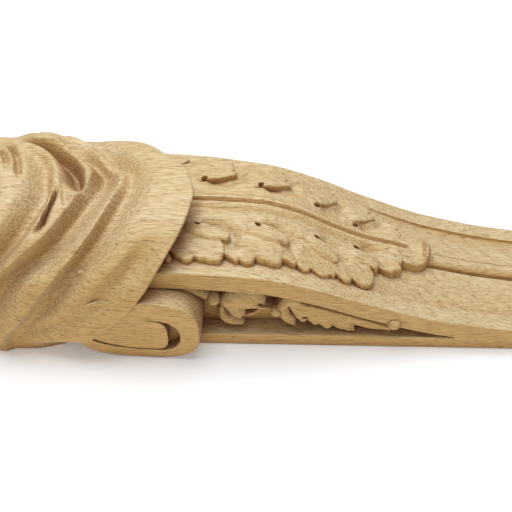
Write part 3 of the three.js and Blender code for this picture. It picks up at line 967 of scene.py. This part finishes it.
def recess_floor(z, depth):
    """The floor is as far out all the way from the wall to the front."""
    return half_width(z) - RECESS


def on_side(side):
    """Puts a relief on the side: p is the height up the bracket, q the depth in front of the wall."""
    return lambda p, q, height: (side * height, q, p)


def under_the_band(z, depth):
    """The hanging leaf dips where it comes out from under the band, and has a hole near its top."""
    along = (z - LEAF_HOLE[0]) / LEAF_HOLE_SIZE[0]
    across = (depth - LEAF_HOLE[1]) / LEAF_HOLE_SIZE[1]
    hole = LEAF_HOLE_DEPTH * np.clip(1 - np.hypot(along, across) ** 4, 0, 1)
    return -hole - BAND_DIP * (1 - blend(4.5, 8.5, front_depth(z) - BAND - depth))


def narrowed(one):
    """The stroke's undercut foot: narrower, and lower than its face."""
    radii = tuple(max(radius - UNDERCUT, 0.8) for radius in one["radii"])
    return dict(one, radii=radii, lift=one["lift"] - CORE_SUNK)


def carved_ball(z, depth, radius, out):
    """A ball whose face stands so far out from the recess's floor."""
    bpy.ops.mesh.primitive_uv_sphere_add(segments=32, ring_count=20, radius=radius * MM)
    ball = bpy.context.active_object
    bpy.ops.object.mode_set(mode="EDIT")
    bpy.ops.transform.resize(value=(BALL_STRETCH, 1, 1))
    x = half_width(z) - RECESS + out - radius
    bpy.ops.transform.translate(value=(-x * MM, -depth * MM, z * MM))
    bpy.ops.object.mode_set(mode="OBJECT")
    return ball


forms = []
for name, strokes in GARLAND.items():
    detail = under_the_band if name == "side_leaf" else None
    face = relief(name, strokes, recess_floor, on_side(-1), cell=0.5, sunk=6, detail=detail)
    narrow = [narrowed(one) for one in strokes]
    foot = relief(name, narrow, recess_floor, on_side(-1), cell=0.8, sunk=16)
    forms += [face, foot]
forms += [carved_ball(*ball) for ball in BALLS]
near_garland = joined("garland_near", forms)
finish_mesh(near_garland)
far_garland = mirrored_copy(near_garland, "garland_far")

# %% [markdown]
# The wood is bare sanded oak: pale straw brown, with growth rings, short open pores along the grain
# that show as dark dashes on long faces and as dots on end grain, and hardly any gloss. Painted shade
# makes the hollows and the foot of every wall browner, and the sides a little darker and warmer than
# the front. The rest is drawn from the piece's own coordinates in millimetres, so the grain runs through
# every piece of the block in one direction, along the length. Real pores are about 0.3 mm wide. They are
# drawn 0.9 mm wide, so that they show.


# %% Node and colour helpers
def linear(code):
    """A colour's sRGB hex code as linear red, green, blue and alpha."""
    values = [int(code[i:i + 2], 16) / 255 for i in (1, 3, 5)]
    return tuple(v / 12.92 if v <= 0.04045 else ((v + 0.055) / 1.055) ** 2.4 for v in values) + (1.0,)


def node(tree, kind, settings=None, inputs=None):
    """Adds a node with its settings, and sets or links its inputs."""
    made = tree.nodes.new(kind)
    for name, value in (settings or {}).items():
        setattr(made, name, value)
    for name, value in (inputs or {}).items():
        if isinstance(value, bpy.types.NodeSocket):
            tree.links.new(value, made.inputs[name])
        else:
            made.inputs[name].default_value = value
    return made


# %% Oak
PITH = (30, 70)
RING_WIDTH = 2.6
RING_DRIFT = 26
RING_WAVE = 2


def bare_oak():
    oak = bpy.data.materials.new("bare_sanded_oak")
    oak.use_nodes = True
    tree = oak.node_tree
    tree.nodes.clear()
    place = node(tree, "ShaderNodeTexCoord")
    mm = node(tree, "ShaderNodeMapping", inputs={"Vector": place.outputs["Object"], "Scale": (1 / MM,) * 3})

    def grain(across_mm, along_mm, detail=2.0, roughness=0.5, into_mm=None):
        """Noise whose grains are so many millimetres across the wood, along it and into it."""
        size = (1 / across_mm, 1 / (into_mm or across_mm), 1 / along_mm)
        stretched = node(tree, "ShaderNodeMapping", inputs={"Vector": mm.outputs[0], "Scale": size})
        return node(tree, "ShaderNodeTexNoise", inputs={
            "Vector": stretched.outputs[0], "Scale": 1.0, "Detail": detail, "Roughness": roughness,
        }).outputs[0]

    # Growth rings round the pith, which drift and wave, with the open early wood in each
    from_pith = node(tree, "ShaderNodeMapping", inputs={
        "Vector": mm.outputs[0], "Location": (-PITH[0], -PITH[1], 0), "Scale": (1, 1, 0),
    })
    radius = node(tree, "ShaderNodeVectorMath", {"operation": "LENGTH"}, {0: from_pith.outputs[0]})
    drifting = node(tree, "ShaderNodeMath", {"operation": "MULTIPLY_ADD"}, {
        0: grain(60, 260, 1.5), 1: RING_DRIFT, 2: radius.outputs["Value"],
    })
    waving = node(tree, "ShaderNodeMath", {"operation": "MULTIPLY_ADD"}, {
        0: grain(7, 70, 1.0), 1: RING_WAVE, 2: drifting.outputs[0],
    })
    rings = node(tree, "ShaderNodeMath", {"operation": "DIVIDE"}, {0: waving.outputs[0], 1: RING_WIDTH})
    in_ring = node(tree, "ShaderNodeMath", {"operation": "FRACT"}, {0: rings.outputs[0]})
    early = node(tree, "ShaderNodeValToRGB", inputs={0: in_ring.outputs[0]})
    early.color_ramp.elements[0].color = (0.2, 0.2, 0.2, 1)
    early.color_ramp.elements[1].color = (0.15, 0.15, 0.15, 1)
    early.color_ramp.elements.new(0.12).color = (1, 1, 1, 1)
    early.color_ramp.elements.new(0.45).color = (0, 0, 0, 1)
    early_share = node(tree, "ShaderNodeMath", {"operation": "MULTIPLY"}, {0: early.outputs[0], 1: 0.14})

    # Pores, most of them in the early wood
    open_pore = node(tree, "ShaderNodeMapRange", inputs={
        "Value": grain(0.9, 11, 2.0, 0.55), "From Min": 0.53, "From Max": 0.68,
    })
    where = node(tree, "ShaderNodeMath", {"operation": "MULTIPLY_ADD"}, {
        0: early.outputs[0], 1: 0.5, 2: 0.5,
    })
    pore = node(tree, "ShaderNodeMath", {"operation": "MULTIPLY"}, {
        0: open_pore.outputs[0], 1: where.outputs[0],
    })
    pore_share = node(tree, "ShaderNodeMath", {"operation": "MULTIPLY"}, {0: pore.outputs[0], 1: 0.75})

    # Which way the face looks: to a side, which gets painted shade (a darker, warmer tone than the front),
    # or along the length, where end grain shows
    facing = node(tree, "ShaderNodeVectorMath", {"operation": "ABSOLUTE"}, {0: place.outputs["Normal"]})
    facing = node(tree, "ShaderNodeSeparateXYZ", inputs={0: facing.outputs[0]})
    sideways = facing.outputs[0]
    lengthways = facing.outputs[2]
    painted_side_shade = node(tree, "ShaderNodeMath", {"operation": "POWER"}, {0: sideways, 1: 1.5})
    end = node(tree, "ShaderNodeMath", {"operation": "POWER"}, {0: lengthways, 1: 2.0})
    end_share = node(tree, "ShaderNodeMath", {"operation": "MULTIPLY"}, {0: end.outputs[0], 1: 0.5})

    # Fibre, drawn across the front and across the sides so that it isn't cut to specks on either
    turned = node(tree, "ShaderNodeMapRange", inputs={"Value": sideways, "From Min": 0.5, "From Max": 0.75})
    fibre = node(tree, "ShaderNodeMix", {"data_type": "FLOAT"}, {
        0: turned.outputs[0],
        2: grain(0.9, 12, 2.0, 0.6, into_mm=5),
        3: grain(5, 12, 2.0, 0.6, into_mm=0.9),
    })
    streak = node(tree, "ShaderNodeMapRange", inputs={
        "Value": fibre.outputs[0], "From Min": 0.38, "From Max": 0.64, "To Max": 0.55,
    })
    dot = node(tree, "ShaderNodeMapRange", inputs={
        "Value": grain(1.5, 1.5, 1.0), "From Min": 0.48, "From Max": 0.62, "To Max": 0.8,
    })
    on_end = node(tree, "ShaderNodeMath", {"operation": "POWER"}, {0: lengthways, 1: 1.5})
    dot_share = node(tree, "ShaderNodeMath", {"operation": "MULTIPLY"}, {
        0: dot.outputs[0], 1: on_end.outputs[0],
    })

    # Painted shade: hollows, and the foot of every wall, darkened by ambient occlusion
    hidden = node(tree, "ShaderNodeAmbientOcclusion", {"samples": 6}, {"Distance": 20 * MM})
    painted_hollow_shade = node(tree, "ShaderNodeMapRange", inputs={
        "Value": hidden.outputs["AO"], "From Min": 0.15, "From Max": 0.85, "To Min": 0.75, "To Max": 0.0,
    })
    near_wall = node(tree, "ShaderNodeAmbientOcclusion", {"samples": 4}, {"Distance": 3 * MM})
    painted_wall_shade = node(tree, "ShaderNodeMapRange", inputs={
        "Value": near_wall.outputs["AO"], "From Min": 0.35, "From Max": 0.85, "To Min": 0.7, "To Max": 0.0,
    })

    wood = node(tree, "ShaderNodeMix", {"data_type": "RGBA"}, {
        "Factor": grain(38, 210, 2.0), "A": linear("#E9DAB4"), "B": linear("#DBC694"),
    })
    layers = [
        ("MULTIPLY", early_share, "#C49A62"),
        ("MULTIPLY", streak, "#CDAE78"),
        ("MIX", pore_share, "#7E562A"),
        ("MULTIPLY", dot_share, "#B58A55"),
        ("MULTIPLY", end_share, "#BE9055"),
        # Painted shade: the sides darker and warmer than the front
        ("MULTIPLY", painted_side_shade, "#F7DDB0"),
        # Painted shade: browner and darker in hollows and at the foot of every wall
        ("MULTIPLY", painted_hollow_shade, "#A0642E"),
        ("MULTIPLY", painted_wall_shade, "#A87440"),
    ]
    for laid, share, code in layers:
        wood = node(tree, "ShaderNodeMix", {"data_type": "RGBA", "blend_type": laid}, {
            "Factor": share.outputs[0], "A": wood.outputs[2], "B": linear(code),
        })
    bump = node(tree, "ShaderNodeBump", {"invert": True}, {
        "Strength": 0.6, "Distance": 0.4 * MM, "Height": pore.outputs[0],
    })
    shader = node(tree, "ShaderNodeBsdfPrincipled", inputs={
        "Base Color": wood.outputs[2], "Roughness": 0.62, "Normal": bump.outputs[0],
    })
    node(tree, "ShaderNodeOutputMaterial", inputs={"Surface": shader.outputs[0]})
    return oak


oak = bare_oak()
pieces = [console, volute, cloth, leaf, near_leaflets, far_leaflets, near_garland, far_garland]
for piece in pieces:
    piece.data.materials.clear()
    piece.data.materials.append(oak)
    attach(piece, "root")
    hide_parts(NODE)

# %% [markdown]
# The bracket is pictured lying on its back on a pale table, so the table's top is just behind the
# wall face. It glows a little, as a light table does. From behind it lets the view through, and it has
# holes behind the bracket, a little smaller than what lies over them, so that light reaches the back.

# %% Table
TABLE_SPAN = 6000
TABLE_GAP = 0.6
TABLE_THICKNESS = 20
TABLE_SKIN = 0.4
HOLE_MARGIN = 1.5
# Each hole's lower and upper end, and its half width at each: console, volute, heart and cloth.
HOLES = [
    (TAIL, CONSOLE_TOP, half_width(TAIL), half_width(CONSOLE_TOP)),
    (102, 162, 83, 83),
    (HEART_LOW, HEART_HIGH, HEART_HALF_WIDTH, HEART_HALF_WIDTH),
    (199, HEAD, 80, 88),
]
bpy.ops.mesh.primitive_plane_add(
    size=TABLE_SPAN * MM, location=(0, TABLE_GAP * MM, 0), rotation=(math.pi / 2, 0, 0)
)
table = bpy.context.active_object
table.name = "table"
bpy.ops.object.transform_apply(location=True, rotation=True, scale=True)
table_thickness = table.modifiers.new("thickness", "SOLIDIFY")
table_thickness.thickness = TABLE_THICKNESS * MM
table_thickness.offset = -1
bpy.ops.object.modifier_apply(modifier=table_thickness.name)
for low_z, high_z, low_half, high_half in HOLES:
    bpy.ops.mesh.primitive_cube_add(size=1)
    hole = bpy.context.active_object
    share = read_points(hole)
    up = share[:, 2] + 0.5
    x = 2 * share[:, 0] * (lerp(low_half, high_half, up) - HOLE_MARGIN)
    through = 10 * TABLE_THICKNESS * share[:, 1]
    write_points(hole, x, through, lerp(low_z + HOLE_MARGIN, high_z - HOLE_MARGIN, up))
    bpy.ops.object.mode_set(mode="EDIT")
    bpy.ops.mesh.select_all(action="SELECT")
    bpy.ops.mesh.normals_make_consistent(inside=False)
    bpy.ops.object.mode_set(mode="OBJECT")
    cut(table, hole)

# Only a thin skin of the table is left, so that the walls of its holes don't show.
bpy.context.view_layer.objects.active = table
bpy.ops.object.mode_set(mode="EDIT")
bpy.ops.mesh.select_all(action="SELECT")
skin_back = (0, (TABLE_GAP + TABLE_SKIN) * MM, 0)
bpy.ops.mesh.bisect(plane_co=skin_back, plane_no=(0, 1, 0), clear_outer=True)
bpy.ops.object.mode_set(mode="OBJECT")

# %% Table finish
top = bpy.data.materials.new("pale_table")
top.use_nodes = True
tree = top.node_tree
tree.nodes.clear()
diffuse = node(tree, "ShaderNodeBsdfDiffuse", inputs={"Color": linear("#F8FBFE")})
glow = node(tree, "ShaderNodeEmission", inputs={"Color": linear("#FBFCFF"), "Strength": 0.14})
matte = node(tree, "ShaderNodeAddShader", inputs={0: diffuse.outputs[0], 1: glow.outputs[0]})
clear = node(tree, "ShaderNodeBsdfTransparent")
side_seen = node(tree, "ShaderNodeNewGeometry")
one_sided = node(tree, "ShaderNodeMixShader", inputs={
    0: side_seen.outputs["Backfacing"], 1: matte.outputs[0], 2: clear.outputs[0],
})
node(tree, "ShaderNodeOutputMaterial", inputs={"Surface": one_sided.outputs[0]})
table.data.materials.append(top)

# %% [markdown]
# The photograph's light is soft and nearly overhead: pale faces on top, brown hollows and hardly any
# shadow on the table. So the world gives half of it, a large key light stands over the bracket, and a
# faint warm one beside the camera opens the near side. The camera alone sees the white backdrop.

# %% World and lights
bpy.context.scene.view_settings.view_transform = "Standard"
world = bpy.data.worlds.new("studio")
world.use_nodes = True
tree = world.node_tree
tree.nodes.clear()
soft = node(tree, "ShaderNodeBackground", inputs={"Color": linear("#FFFAF2"), "Strength": 0.42})
backdrop = node(tree, "ShaderNodeBackground", inputs={"Color": linear("#FBFCFE"), "Strength": 1.0})
seen = node(tree, "ShaderNodeLightPath")
studio = node(tree, "ShaderNodeMixShader", inputs={
    0: seen.outputs["Is Camera Ray"], 1: soft.outputs[0], 2: backdrop.outputs[0],
})
node(tree, "ShaderNodeOutputWorld", inputs={"Surface": studio.outputs[0]})
bpy.context.scene.world = world


def area_light(name, direction, distance, size, power, colour):
    """A soft square light at a distance from the bracket's middle, looking at it."""
    way = Vector(direction).normalized()
    bpy.ops.object.light_add(type="AREA", location=way * distance)
    light = bpy.context.active_object
    light.name = name
    light.data.size = size
    light.data.energy = power
    light.data.color = linear(colour)[:3]
    light.rotation_euler = way.to_track_quat("Z", "Y").to_euler()


area_light("key_light", (0.12, -0.96, 0.12), 1.6, 1.1, 20, "#F8FAFF")
area_light("fill_light", (-0.80, -0.50, 0.05), 1.8, 1.2, 1.5, "#FFF6E6")

# %% [markdown]
# The camera looks down at the bracket from its near side with a normal lens. Its target is a point
# of the bracket, and its distance and angles were matched to the photograph's outlines.

# %% Camera
CAMERA_TARGET = Vector((-18.6, -60, 30)) * MM
CAMERA_DISTANCE = 640 * MM
CAMERA_ELEVATION = 48
CAMERA_SWING = 3.4
LENS_MM = 50
SENSOR_MM = 36
elevation = math.radians(CAMERA_ELEVATION)
swing = math.radians(CAMERA_SWING)
back = Vector((
    -math.cos(swing) * math.cos(elevation), -math.sin(elevation), -math.sin(swing) * math.cos(elevation),
))
right = Vector((math.sin(swing), 0, -math.cos(swing)))
above = back.cross(right)
bpy.ops.object.camera_add(location=CAMERA_TARGET + back * CAMERA_DISTANCE)
camera = bpy.context.active_object
camera.name = "camera"
camera.data.lens = LENS_MM
camera.data.sensor_width = SENSOR_MM
camera.rotation_euler = Matrix((right, above, back)).transposed().to_euler()
bpy.context.scene.camera = camera
